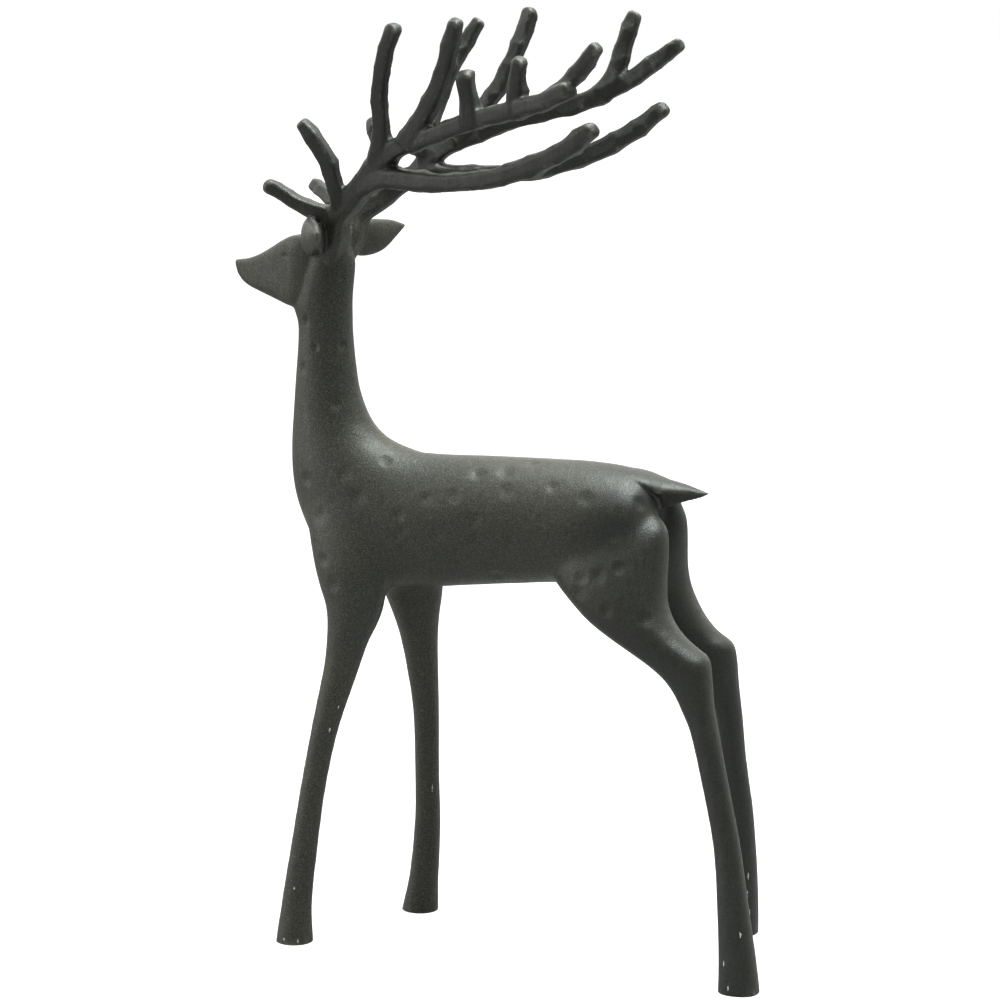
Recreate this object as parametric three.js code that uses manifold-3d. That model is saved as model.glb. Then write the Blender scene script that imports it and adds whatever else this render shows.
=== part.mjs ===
// A slender standing stag, cast in one piece: trunk, neck, turned head with ears,
// a branching pair of antlers, four splayed legs and a short leaf-shaped tail.
//
// Lengths are millimetres, +Z is up, the muzzle points to -X and the left side is -Y.
// Every limb is a loft: a smooth line through a few stations, carrying an oval section
// whose half sizes are given at the same stations. The lofts are joined into one solid.

import * as THREE from 'three';
import { mergeVertices } from 'three/addons/utils/BufferGeometryUtils.js';
import Module from 'manifold-3d';

const wasm = await Module();
wasm.setup();

// ---- Driving dimensions --------------------------------------------------------------

const LEFT = -1;
const RIGHT = 1;

// The body is drawn about its own middle plane, y = 0, and then moved so that the origin
// of the part is on the floor, under the middle of its overall box.
const STAND = new THREE.Vector3(2, 13, 0);

// The head and antlers are drawn straight and then turned about the neck's upright axis.
const NECK_X = -100;
const HEAD_TURN = THREE.MathUtils.degToRad(-11);

// Facets round a section.
const TRUNK_SIDES = 20;
const NECK_SIDES = 16;
const HEAD_SIDES = 16;
const LEG_SIDES = 12;
const EAR_SIDES = 10;
const BRANCH_SIDES = 8;

// Spacing of the loft's rings along a limb.
const TRUNK_PITCH = 14;
const LEG_PITCH = 14;
const BRANCH_PITCH = 10;
const FINE_PITCH = 8;

// How square a section is: 2 is an ellipse, higher is flatter on its sides.
const OVAL = 2;
const SLAB = 3.2;

// The floor slab that trims the soles flat.
const SLAB_SIZE = 600;

// Trunk stations: x, height of the middle, half height, half width.
const TRUNK = [
  [-101, 250, 16, 12],
  [-96.5, 244, 27, 19],
  [-85, 238, 36, 26],
  [-62, 235, 37.5, 30],
  [-37, 235.5, 36.5, 30.5],
  [-3, 236, 35, 29.5],
  [30, 237.5, 34, 30],
  [56, 238, 32.5, 32],
  [74, 240, 28, 31],
  [85, 243.5, 19, 25],
  [90, 245, 11, 16],
];

// Neck stations: height, x of the middle, half depth fore and aft, half width.
const NECK = [
  [228, -79, 22, 17],
  [246, -86, 34, 23],
  [262, -91, 31, 22.5],
  [275, -98, 24.8, 20.5],
  [286, -100.6, 20, 18],
  [297, -101.4, 18.5, 16.4],
  [312, -102.3, 17.3, 15],
  [334, -102, 14.8, 13.8],
  [360, -100.9, 14.3, 13.6],
  [378, -100, 14.6, 13.2],
  [392, -98.6, 9.8, 11.5],
];

// Front legs: height, half depth, half width and distance from the middle plane, shared,
// and the x of each leg's middle at those heights. The left foot leads.
const FORELEG = [
  [240, 29, 16, 15],
  [206, 22, 16.5, 19.5],
  [188, 15.3, 14, 21],
  [171, 12, 11.3, 22.5],
  [155, 9.6, 9.4, 24],
  [121, 7.2, 7.4, 28],
  [88, 6.7, 6.9, 31],
  [54, 7.2, 7.3, 34],
  [20, 8.4, 8.4, 36.5],
  [0, 10.4, 10.2, 38],
  [-6, 11, 10.8, 38.5],
];
const LEFT_FORE_X = [-79, -78.5, -79, -83, -86, -94.6, -100.8, -105.4, -109.4, -110, -110];
const RIGHT_FORE_X = [-66, -61, -59, -57.3, -56, -54.4, -54.8, -55.8, -59.2, -62, -63];

// Hind legs: x and height of the left leg, then half depth, half width and distance from
// the middle plane. The right leg is the same limb, standing lower and further forward.
const HINDLEG = [
  [60, 242, 33, 18, 15],
  [65.5, 222, 31.3, 20, 19],
  [69.5, 207, 29, 19, 22],
  [77.5, 197, 22.5, 17.5, 24],
  [87, 188, 18.5, 16, 25.5],
  [97, 180, 16, 14.5, 27],
  [105.5, 172.5, 14, 12.5, 28],
  [110, 163.5, 11.8, 10.8, 29],
  [114.3, 153, 9.6, 9.3, 31],
  [119.7, 138, 7.6, 8, 33.5],
  [127.8, 107, 7, 7.2, 38],
  [135.2, 76.5, 7.1, 7.2, 42.5],
  [140, 45.5, 8.2, 8.2, 47],
  [143.8, 14, 9.9, 9.8, 50],
  [144.7, 0, 10.8, 10.6, 50.4],
  [145, -6, 11.2, 11, 50.6],
];
const RIGHT_HIND_SHIFT = [5, 4, 2.5, 0.5, -3, -4, -1.5, 2, 2.5, -1.5, -7, -11, -15.5, -20.5, -22.5, -23.5];
const RIGHT_HIND_DROP = [2, 4, 5, 5, 5.5, 6, 6.5, 6.5, 6.5, 7, 8, 6, 4, 1, 0, 0];

// Tail stations: x, height of the middle, half thickness, half width.
const TAIL = [
  [70, 262, 6, 14],
  [84, 259.6, 5, 12],
  [97, 256.8, 3.8, 8],
  [107, 255.7, 2.4, 4.2],
  [113, 255.6, 1, 1.3],
];

// Head stations, from the muzzle back to the neck: distance in front of the neck's axis,
// top and underside of the profile, half width.
const HEAD = [
  [58, 373.6, 368.4, 2],
  [56.5, 374, 363.6, 3.4],
  [53, 374.1, 360, 4.8],
  [45, 374.8, 356.5, 6.8],
  [35.5, 379.6, 353, 8.8],
  [28, 384.6, 350.3, 10.3],
  [21, 387.2, 348.2, 11.8],
  [12, 387.5, 347, 13.4],
  [3, 387.5, 346, 13.6],
];

// Ear stations, in the head's own frame: behind the neck's axis, out from the middle,
// height, half height, half thickness. The left ear is pricked a little higher.
const EAR = [
  [7, 8, 384, 6.5, 4.6],
  [10.5, 18, 385.5, 9.6, 5.4],
  [14, 29, 387, 9.2, 5],
  [17, 39, 389.6, 5.6, 3.4],
  [19.5, 47.5, 391.2, 1.3, 1.1],
];
const LEFT_EAR_LIFT = [0.5, 3, 5.5, 7, 7];
const LEFT_EAR_SWING = [0, -2, -4, -5, -6];

// Antler branches, in the head's own frame, the same on both sides: behind the neck's
// axis, out from the middle, height, radius. Where the two antlers differ a little, a
// branch leans: its tip moves by so much back and up, and its root stays.
const BEAM = [
  [4, 6, 377, 7],
  [9, 9.5, 388, 7.6],
  [14, 12.5, 399.5, 7.3],
  [23.5, 15.5, 410, 7.1],
  [33.5, 18, 420.5, 7],
  [43.5, 20, 429, 7.2],
  [57, 23, 435.8, 6.4],
  [75, 27, 441.6, 5.8],
  [92, 31, 448, 5.6],
  [107, 34, 453, 5.6],
  [126, 38, 458.3, 5.6],
  [146, 41.5, 464, 5.4],
];
const LEFT_CROWN = [
  [134, 39, 459.5, 5.2],
  [149, 42, 463.2, 5.1],
  [163, 44.5, 469.6, 5],
  [174.6, 47, 479.2, 4.9],
  [184.6, 48.7, 490, 4.6],
];
const RIGHT_CROWN = [
  [134, 39, 462, 5],
  [149, 42, 468, 5],
  [163, 44.5, 475, 5],
  [174.5, 47, 483, 4.9],
  [184.4, 48.7, 490, 4.6],
];
const LOWER_BEAM = [
  [35, 17.5, 420, 6],
  [48, 20.5, 422.8, 6.4],
  [64, 23, 420.5, 5.8],
  [90.5, 27.5, 421, 5.5],
  [116, 31.5, 424.8, 5.6],
  [142, 35.5, 432, 5.8],
  [163, 39, 441, 5.6],
  [178, 42, 450.5, 5.1],
];
const FIRST_BROW = [
  [15, 12, 398, 6.4],
  [2, 16.5, 403.2, 5.4],
  [-9, 20, 408.4, 4.6],
  [-20.5, 25.5, 416, 4.2],
];
const SECOND_BROW = [
  [18.5, 14.5, 402, 5.4],
  [18, 20, 415, 5],
  [16.5, 27, 430.5, 5.4],
  [12, 32, 441.5, 5],
  [6.5, 34.5, 449.5, 4],
];
const FRONT_TINE = [
  [45, 20, 431, 6.6],
  [48.5, 25, 446, 5.1],
  [51.5, 32, 463, 4.7],
  [55.8, 37, 476.5, 4.8],
  [61.6, 41.5, 488.5, 4.8],
  [67.7, 45, 499.5, 4.5],
];
const LEFT_MIDDLE_TINE = [
  [65, 24, 440, 6.6],
  [78, 29, 457.5, 5.5],
  [88.8, 34, 474, 5.6],
  [96, 38.5, 489.5, 5.4],
  [101, 42, 501.8, 4.7],
];
const RIGHT_MIDDLE_TINE = [
  [65, 24, 440.5, 6.6],
  [80.5, 29, 458, 5.5],
  [91.6, 34, 475, 5.4],
  [97.6, 38.5, 491.5, 5.1],
  [101.5, 42, 506.8, 4.7],
];
// Branches that only one antler has, or that differ too much to share.
const LEFT_SHORT_TINE = [
  [108.4, 34.5, 452, 6.2],
  [107.6, 37, 464.5, 5.3],
  [106.7, 40, 475, 5],
];
const LEFT_REAR_TINE = [
  [136.5, 39.5, 460, 6],
  [138, 42, 472.5, 4.7],
  [140.5, 44, 482.6, 4.4],
];
const LEFT_STUB = [
  [138, 41, 462, 5.6],
  [156, 45.5, 465.5, 5.6],
  [170, 50.5, 470.5, 5.4],
];
const RIGHT_REAR_TINE = [
  [145, 41.5, 466, 6],
  [152.8, 43, 480, 5],
  [156.5, 45, 493, 5],
  [160, 47, 505.2, 4.6],
];

const LEFT_LEANS = {
  beam: [0, 0],
  lower: [1, -0.5],
  firstBrow: [0, 0],
  secondBrow: [0, 0],
  front: [0, 0],
};
const RIGHT_LEANS = {
  beam: [0, 2.4],
  lower: [1, 7],
  firstBrow: [-2.5, -1.8],
  secondBrow: [2.5, -1],
  front: [-0.7, 2.6],
};

// ---- Lofts ---------------------------------------------------------------------------

// A limb is a list of stations { at, deep, wide }: where the middle of the section is, its
// half size in the upright plane of the limb, and its half size sideways.
const station = (x, y, z, deep, wide) => ({ at: new THREE.Vector3(x, y, z), deep, wide });

// One point round a section, on an ellipse or on a squarer oval, as a pair in -1 to 1.
function ovalPoint(angle, squareness) {
  const power = 2 / squareness;
  const c = Math.cos(angle);
  const s = Math.sin(angle);
  return [
    Math.sign(c) * Math.abs(c) ** power,
    Math.sign(s) * Math.abs(s) ** power,
  ];
}

// The rings of a limb: smooth lines through the stations' middles and through their sizes.
function ringsAlong(stations, pitch) {
  const middles = new THREE.CatmullRomCurve3(stations.map((s) => s.at), false, 'centripetal');
  const sizes = new THREE.CatmullRomCurve3(
    stations.map((s, i) => new THREE.Vector3(s.deep, s.wide, i * pitch)),
    false,
    'centripetal',
  );
  const rings = [];
  const spans = stations.length - 1;
  for (let i = 0; i < spans; i++) {
    const gap = stations[i].at.distanceTo(stations[i + 1].at);
    const steps = Math.max(1, Math.round(gap / pitch));
    for (let k = 0; k < steps; k++) rings.push((i + k / steps) / spans);
  }
  rings.push(1);
  return rings.map((t) => {
    const size = sizes.getPoint(t);
    return { at: middles.getPoint(t), along: middles.getTangent(t), deep: size.x, wide: size.y };
  });
}

// A domed end: rings that shrink past the last one, as the end of a rounded rod does.
function domed(rings, outward) {
  const last = outward > 0 ? rings[rings.length - 1] : rings[0];
  const reach = Math.min(last.deep, last.wide);
  const extra = [0.5, 0.85].map((travel) => {
    const shrink = Math.sqrt(1 - travel * travel);
    return {
      at: last.at.clone().addScaledVector(last.along, outward * travel * reach),
      along: last.along,
      deep: last.deep * shrink,
      wide: last.wide * shrink,
    };
  });
  return outward > 0 ? [...rings, ...extra] : [...extra.reverse(), ...rings];
}

// A closed solid over the rings of a limb. Section widths are measured along `sideways`.
function loft(stations, options) {
  const { sides, pitch, squareness = OVAL, tip = false, nose = false } = options;
  const { sideways = new THREE.Vector3(0, 1, 0) } = options;
  let rings = ringsAlong(stations, pitch);
  if (tip) rings = domed(rings, 1);
  if (nose) rings = domed(rings, -1);
  const positions = [];
  for (const ring of rings) {
    const across = sideways.clone().addScaledVector(ring.along, -sideways.dot(ring.along));
    across.normalize();
    const upright = new THREE.Vector3().crossVectors(across, ring.along);
    for (let k = 0; k < sides; k++) {
      const [c, s] = ovalPoint((2 * Math.PI * k) / sides, squareness);
      const point = ring.at.clone();
      point.addScaledVector(upright, c * ring.deep);
      point.addScaledVector(across, s * ring.wide);
      positions.push(point.x, point.y, point.z);
    }
  }
  const faces = [];
  for (let r = 0; r + 1 < rings.length; r++) {
    for (let k = 0; k < sides; k++) {
      const a = r * sides + k;
      const b = r * sides + ((k + 1) % sides);
      faces.push(a, b, b + sides, a, b + sides, a + sides);
    }
  }
  const first = positions.length / 3;
  const start = rings[0].at;
  const end = rings[rings.length - 1].at;
  positions.push(start.x, start.y, start.z, end.x, end.y, end.z);
  const base = (rings.length - 1) * sides;
  for (let k = 0; k < sides; k++) {
    const next = (k + 1) % sides;
    faces.push(first, next, k);
    faces.push(first + 1, base + k, base + next);
  }
  const geometry = new THREE.BufferGeometry();
  geometry.setAttribute('position', new THREE.Float32BufferAttribute(positions, 3));
  geometry.setIndex(faces);
  return geometry;
}

// ---- Solids --------------------------------------------------------------------------

function toSolid(geometry) {
  const bare = geometry.clone();
  bare.deleteAttribute('normal');
  bare.deleteAttribute('uv');
  const merged = mergeVertices(bare);
  return new wasm.Manifold(new wasm.Mesh({
    numProp: 3,
    vertProperties: new Float32Array(merged.attributes.position.array),
    triVerts: new Uint32Array(merged.index.array),
  }));
}

function toGeometry(solid) {
  const mesh = solid.getMesh();
  const geometry = new THREE.BufferGeometry();
  geometry.setAttribute('position', new THREE.BufferAttribute(mesh.vertProperties, 3));
  geometry.setIndex(new THREE.BufferAttribute(mesh.triVerts, 1));
  return geometry;
}

const joined = (geometries) =>
  geometries.map(toSolid).reduce((whole, solid) => whole.add(solid));

// ---- Body ----------------------------------------------------------------------------

function trunk() {
  const stations = TRUNK.map(([x, z, high, wide]) => station(x, 0, z, high, wide));
  return loft(stations, { sides: TRUNK_SIDES, pitch: TRUNK_PITCH, tip: true, nose: true });
}

function neck() {
  const stations = NECK.map(([z, x, deep, wide]) => station(x, 0, z, deep, wide));
  return loft(stations, { sides: NECK_SIDES, pitch: TRUNK_PITCH, tip: true });
}

function tail() {
  const stations = TAIL.map(([x, z, thick, wide]) => station(x, 0, z, thick, wide));
  return loft(stations, { sides: EAR_SIDES, pitch: LEG_PITCH });
}

function foreleg(side, middles) {
  const stations = FORELEG.map(([z, deep, wide, out], i) =>
    station(middles[i], side * out, z, deep, wide));
  return loft(stations, { sides: LEG_SIDES, pitch: LEG_PITCH });
}

function hindleg(side, shifts, drops) {
  const stations = HINDLEG.map(([x, z, deep, wide, out], i) =>
    station(x + shifts[i], side * out, z - drops[i], deep, wide));
  return loft(stations, { sides: LEG_SIDES, pitch: LEG_PITCH });
}

// ---- Head and antlers, in the head's own frame ---------------------------------------

function head() {
  const stations = HEAD.map(([ahead, top, under, wide]) =>
    station(-ahead, 0, (top + under) / 2, (top - under) / 2, wide));
  return loft(stations, { sides: HEAD_SIDES, pitch: FINE_PITCH, squareness: SLAB });
}

function ear(side, swing, lift) {
  const stations = EAR.map(([back, out, z, high, thick], i) =>
    station(back + swing[i], side * out, z + lift[i], thick, high));
  const sideways = new THREE.Vector3(0, 0, 1);
  return loft(stations, { sides: EAR_SIDES, pitch: FINE_PITCH, sideways });
}

function branch(side, points, [back, up] = [0, 0]) {
  const stations = points.map(([x, out, z, radius], i) => {
    const share = (i / (points.length - 1)) ** 2;
    return station(x + share * back, side * out, z + share * up, radius, radius);
  });
  return loft(stations, { sides: BRANCH_SIDES, pitch: BRANCH_PITCH, tip: true });
}

function antler(side, leans, ownBranches) {
  return [
    branch(side, BEAM, leans.beam),
    branch(side, LOWER_BEAM, leans.lower),
    branch(side, FIRST_BROW, leans.firstBrow),
    branch(side, SECOND_BROW, leans.secondBrow),
    branch(side, FRONT_TINE, leans.front),
    ...ownBranches.map((points) => branch(side, points)),
  ];
}

// ---- The whole casting ---------------------------------------------------------------

function casting() {
  const still = EAR.map(() => 0);
  const none = HINDLEG.map(() => 0);
  const leftOwn = [LEFT_CROWN, LEFT_MIDDLE_TINE, LEFT_SHORT_TINE, LEFT_REAR_TINE, LEFT_STUB];
  const rightOwn = [RIGHT_CROWN, RIGHT_MIDDLE_TINE, RIGHT_REAR_TINE];
  const headPieces = [
    head(),
    ear(LEFT, LEFT_EAR_SWING, LEFT_EAR_LIFT),
    ear(RIGHT, still, still),
    ...antler(LEFT, LEFT_LEANS, leftOwn),
    ...antler(RIGHT, RIGHT_LEANS, rightOwn),
  ];
  for (const piece of headPieces) {
    piece.rotateZ(HEAD_TURN);
    piece.translate(NECK_X, 0, 0);
  }
  const bodyPieces = [
    trunk(),
    neck(),
    tail(),
    foreleg(LEFT, LEFT_FORE_X),
    foreleg(RIGHT, RIGHT_FORE_X),
    hindleg(LEFT, none, none),
    hindleg(RIGHT, RIGHT_HIND_SHIFT, RIGHT_HIND_DROP),
  ];
  const floor = new THREE.BoxGeometry(SLAB_SIZE, SLAB_SIZE, SLAB_SIZE);
  floor.translate(0, 0, -SLAB_SIZE / 2);
  const whole = joined([...bodyPieces, ...headPieces]).subtract(toSolid(floor));
  const geometry = toGeometry(whole);
  geometry.translate(STAND.x, STAND.y, STAND.z);
  return geometry;
}

const castIron = new THREE.MeshStandardMaterial({
  name: 'cast_iron',
  color: 0x3c3e3b,
  roughness: 0.62,
  metalness: 0.35,
});

const group = new THREE.Group();
const stag = new THREE.Mesh(casting(), castIron);
stag.name = 'stag';
group.add(stag);

export default group;
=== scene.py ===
# %% [markdown]
# # A cast iron stag
# The real stag is one casting: trunk, neck, turned head, antlers, legs and tail run into
# each other without a joint. It could be sculpted from one lump, or built limb by limb and
# melted together. Limb by limb is used here, because every limb is then a short table of
# sizes that is easy to read and to change. The imported model is loaded first, and its box
# is kept, so that the drawings can stand on its lowest corner.

# %% Load the frame and the tools
import math

import bpy
import numpy as np
from mathutils import Matrix, Vector


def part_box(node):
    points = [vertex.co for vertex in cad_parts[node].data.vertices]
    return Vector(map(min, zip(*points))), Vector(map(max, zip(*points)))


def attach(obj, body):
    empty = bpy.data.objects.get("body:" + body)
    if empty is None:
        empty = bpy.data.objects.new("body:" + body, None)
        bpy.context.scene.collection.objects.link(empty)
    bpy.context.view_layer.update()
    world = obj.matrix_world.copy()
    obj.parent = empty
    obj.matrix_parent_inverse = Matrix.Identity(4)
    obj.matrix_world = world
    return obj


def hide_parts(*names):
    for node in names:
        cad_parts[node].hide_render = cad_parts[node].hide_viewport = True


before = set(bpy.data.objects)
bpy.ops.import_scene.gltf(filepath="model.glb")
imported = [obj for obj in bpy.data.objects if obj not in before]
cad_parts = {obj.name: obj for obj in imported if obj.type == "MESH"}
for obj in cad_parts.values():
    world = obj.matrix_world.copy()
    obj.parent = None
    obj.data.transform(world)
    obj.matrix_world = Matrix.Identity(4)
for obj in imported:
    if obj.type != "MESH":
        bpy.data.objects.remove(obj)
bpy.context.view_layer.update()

# %% [markdown]
# ## Two drawing spaces
# The stag is drawn in millimetres about its own middle plane, with the muzzle to -X and
# the left side to -Y. The head and antlers are drawn straight and then turned a little, as
# a stag that looks aside. They could be drawn in place, but a straight drawing is far
# easier to keep even. Two matrices carry both drawings into the frame in metres, and they
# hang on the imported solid's own lowest corner, so nothing is fitted by eye.

# %% Where the drawings stand
MM = 0.001
LEFT, RIGHT = -1, 1
stag_low = Vector(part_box("stag")[0])
MIDDLE_FROM_CORNER = Vector((0.15915, 0.08745, 0.0))
NECK_AXIS_X = -100.0
HEAD_TURN = math.radians(-11)

BODY_SPACE = Matrix.Translation(stag_low + MIDDLE_FROM_CORNER) @ Matrix.Scale(MM, 4)
HEAD_SPACE = (
    BODY_SPACE
    @ Matrix.Translation((NECK_AXIS_X, 0, 0))
    @ Matrix.Rotation(HEAD_TURN, 4, "Z")
)
print("middle plane stands at", [round(v, 4) for v in BODY_SPACE.translation])

# %% [markdown]
# ## The camera
# A long lens at the stag's left, a little behind it and as high as the antlers' tips. It
# is tipped down so far that the top of the view just reaches the horizon. A short lens
# would swell the near feet, and a far view keeps the legs' true proportions. It is set
# first, because every later choice of shape and light is judged through it.

# %% Camera
CAMERA_AT = Vector((0.4708, -1.5234, 0.5158))
CAMERA_LOOKS_AT = Vector((0.0196, -0.0525, 0.2583))
SENSOR_MM = 36
LENS_MM = 108
FARTHEST = 50
looking = CAMERA_LOOKS_AT - CAMERA_AT
bpy.ops.object.select_all(action="DESELECT")
bpy.ops.object.camera_add(
    location=CAMERA_AT, rotation=looking.to_track_quat("-Z", "Y").to_euler())
camera = bpy.context.object
camera.name = "camera"
camera.data.sensor_width = SENSOR_MM
camera.data.lens = LENS_MM
camera.data.clip_end = FARTHEST
camera.data.dof.use_dof = False
bpy.context.scene.camera = camera
print("camera stands", round(looking.length, 3), "m from what it looks at")

# %% [markdown]
# ## A smooth line through stations
# A limb is given by a few stations: a middle and two half sizes. Between stations the
# middle and the sizes follow a smooth line. The line is a Catmull-Rom curve whose pace
# follows the square root of each gap, since an even pace would swing out wherever short
# and long gaps meet. Rings square to a line suit a straight limb. Where a thick limb
# bends, such rings would cut through each other on the inner side, so there the rings are
# held between two outlines instead, like the ribs of a fan. The sizes are read off a
# smooth line as well, whose stations stand an even pace apart.

# %% Smooth line
LEAST_GAP = 1e-6
NUDGE = 1e-4
SIZE_PACE = 14.0


def smooth_point(points, share):
    """The point at a share, 0 to 1, of the smooth line through points."""
    spans = len(points) - 1
    i = min(int(share * spans), spans - 1)
    w = share * spans - i
    p1, p2 = points[i], points[i + 1]
    p0 = points[i - 1] if i > 0 else 2 * p1 - p2
    p3 = points[i + 2] if i + 2 <= spans else 2 * p2 - p1
    before, here, after = (
        max((b - a).length, LEAST_GAP) ** 0.5 for a, b in ((p0, p1), (p1, p2), (p2, p3))
    )
    leave = ((p1 - p0) / before - (p2 - p0) / (before + here) + (p2 - p1) / here) * here
    reach = ((p2 - p1) / here - (p3 - p1) / (here + after) + (p3 - p2) / after) * here
    square = 3 * (p2 - p1) - 2 * leave - reach
    cube = 2 * (p1 - p2) + leave + reach
    return p1 + leave * w + square * w ** 2 + cube * w ** 3


def shares_of(points, pitch):
    """Where the rings of a limb stand, as shares of the way along it."""
    spans = len(points) - 1
    shares = []
    for i in range(spans):
        steps = max(1, round((points[i + 1] - points[i]).length / pitch))
        shares += [(i + k / steps) / spans for k in range(steps)]
    return shares + [1.0]


def rings_along(stations, pitch, sideways=(0, 1, 0)):
    """Rings (middle, axes, half width, half depth), each square to a line of middles.

    A station is (x, y, z, half width along sideways, half depth)."""
    middles = [Vector(s[:3]) for s in stations]
    sizes = [Vector((s[3], s[4], SIZE_PACE * i)) for i, s in enumerate(stations)]
    hint = Vector(sideways)
    rings = []
    for share in shares_of(middles, pitch):
        ahead = smooth_point(middles, min(1.0, share + NUDGE))
        along = (ahead - smooth_point(middles, max(0.0, share - NUDGE))).normalized()
        across = (hint - along * hint.dot(along)).normalized()
        size = smooth_point(sizes, share)
        axes = Matrix((across, along.cross(across), along)).transposed()
        rings.append((smooth_point(middles, share), axes, size.x, size.y))
    return rings


def length_of(points):
    return sum((b - a).length for a, b in zip(points, points[1:]))


def rings_between(stations, pitch):
    """Rings held between two outlines in the upright plane, so that they can fan out.

    A station is (x and z on one outline, x and z on the other, half width, y of both)."""
    first = [Vector((s[0], s[5], s[1])) for s in stations]
    second = [Vector((s[2], s[5], s[3])) for s in stations]
    sizes = [Vector((s[4], 0, SIZE_PACE * i)) for i, s in enumerate(stations)]
    longer = max(second, first, key=length_of)
    across = Vector((0, 1, 0))
    rings = []
    for share in shares_of(longer, pitch):
        a, b = smooth_point(first, share), smooth_point(second, share)
        over = (a - b).normalized()
        axes = Matrix((across, over, across.cross(over))).transposed()
        rings.append(((a + b) / 2, axes, smooth_point(sizes, share).x, (a - b).length / 2))
    return rings

# %% [markdown]
# ## Ends and sections
# A tip is closed by rings that shrink past the last one. The antlers' real tips are blunt,
# so the power in the rule is above that of a true dome. A section starts as a circle and
# is pushed into an oval, a slab with rounded corners, or the tail's shape: round on top,
# with a sharp edge at each side and a keel below.

# %% Ends and sections
BLUNT = 2.5
END_RINGS = (0.3, 0.55, 0.75, 0.88, 0.96)
CROWN = 0.65
KEEL_HOLLOW = 1.3


def close_end(rings, outward):
    """Adds shrinking rings past the last ring, or before the first one."""
    at, axes, wide, deep = rings[-1] if outward > 0 else rings[0]
    step = axes.col[2] * outward * min(wide, deep)
    cap = []
    for travel in END_RINGS:
        shrink = (1 - travel ** BLUNT) ** (1 / BLUNT)
        cap.append((at + step * travel, axes, wide * shrink, deep * shrink))
    return rings + cap if outward > 0 else cap[::-1] + rings


def oval(x, y):
    return x, y


def slab(squareness):
    """A section between an oval, squareness 2, and a square, which has no end to it."""
    power = 2 / squareness

    def section(x, y):
        return math.copysign(abs(x) ** power, x), math.copysign(abs(y) ** power, y)

    return section


def keeled(x, y):
    """Round above; below, hollow on both sides of a keel."""
    return (x, CROWN * y) if y > 0 else (x, -max(0.0, 1 - abs(x)) ** KEEL_HOLLOW)

# %% [markdown]
# ## Drawing out a limb
# A limb could be a curve with a bevel, but then its section can't change from slab to
# point on the way. So it is drawn out as by hand: a filled circle at the first station is
# extruded, turned and resized, ring after ring. The turn and the resize are both made
# about the new ring's middle, so the rings can't drift. The turn is given with its sign
# changed, because with no window open the tool turns the other way. Normals are then made
# to point outwards, because the first face still looks along the limb.

# %% Limb by extrusion
def limb(name, rings, space, section=oval, sides=32, tip=False, nose=False):
    """One closed limb over rings given in a drawing space."""
    if tip:
        rings = close_end(rings, 1)
    if nose:
        rings = close_end(rings, -1)
    turn = space.to_3x3().normalized()
    placed = [(space @ at, turn @ axes, wide * MM, deep * MM) for at, axes, wide, deep in rings]

    bpy.ops.object.select_all(action="DESELECT")
    bpy.ops.mesh.primitive_circle_add(vertices=sides, radius=1, fill_type="NGON")
    piece = bpy.context.object
    piece.name = name
    for vertex in piece.data.vertices:
        vertex.co.x, vertex.co.y = section(vertex.co.x, vertex.co.y)
    at, axes, wide, deep = placed[0]
    piece.location, piece.rotation_euler, piece.scale = at, axes.to_euler(), (wide, deep, 1)
    bpy.ops.object.transform_apply(location=True, rotation=True, scale=True)

    bpy.ops.object.mode_set(mode="EDIT")
    bpy.ops.mesh.select_all(action="SELECT")
    for (a0, f0, w0, d0), (a1, f1, w1, d1) in zip(placed, placed[1:]):
        bpy.ops.mesh.extrude_region_move(TRANSFORM_OT_translate={"value": a1 - a0})
        for axis, angle in zip("XYZ", (f1 @ f0.transposed()).to_euler("XYZ")):
            bpy.ops.transform.rotate(
                value=-angle, orient_axis=axis, orient_type="GLOBAL", center_override=a1)
        bpy.ops.transform.resize(
            value=(w1 / w0, d1 / d0, 1), orient_type="GLOBAL", orient_matrix=f1,
            orient_matrix_type="GLOBAL", center_override=a1)
    bpy.ops.mesh.select_all(action="SELECT")
    bpy.ops.mesh.normals_make_consistent(inside=False)
    bpy.ops.object.mode_set(mode="OBJECT")
    print(f"{name}: {len(placed)} rings")
    return piece


def pick(*pieces):
    """Selects these pieces alone. The first becomes the active one."""
    bpy.ops.object.select_all(action="DESELECT")
    for piece in pieces:
        piece.select_set(True)
    bpy.context.view_layer.objects.active = pieces[0]


def melt_together(name, pieces):
    """Joins pieces into one object. Their walls still cross until they are remeshed."""
    pick(*pieces)
    bpy.ops.object.join()
    pieces[0].name = name
    return pieces[0]


def finish_with(piece, kind, **settings):
    """Adds a modifier with these settings and applies it."""
    pick(piece)
    modifier = piece.modifiers.new(kind.lower(), kind)
    for key, value in settings.items():
        setattr(modifier, key, value)
    bpy.ops.object.modifier_apply(modifier=modifier.name)

# %% [markdown]
# ## Trunk and neck
# The neck runs down into the chest and on into the trunk in one sweep, so both are one
# limb. Its rings are held between the line of the nape and back and the line of the
# throat, chest and belly, and fan out at the shoulder.

# %% Trunk and neck
LIMB_PITCH = 4.0
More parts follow.
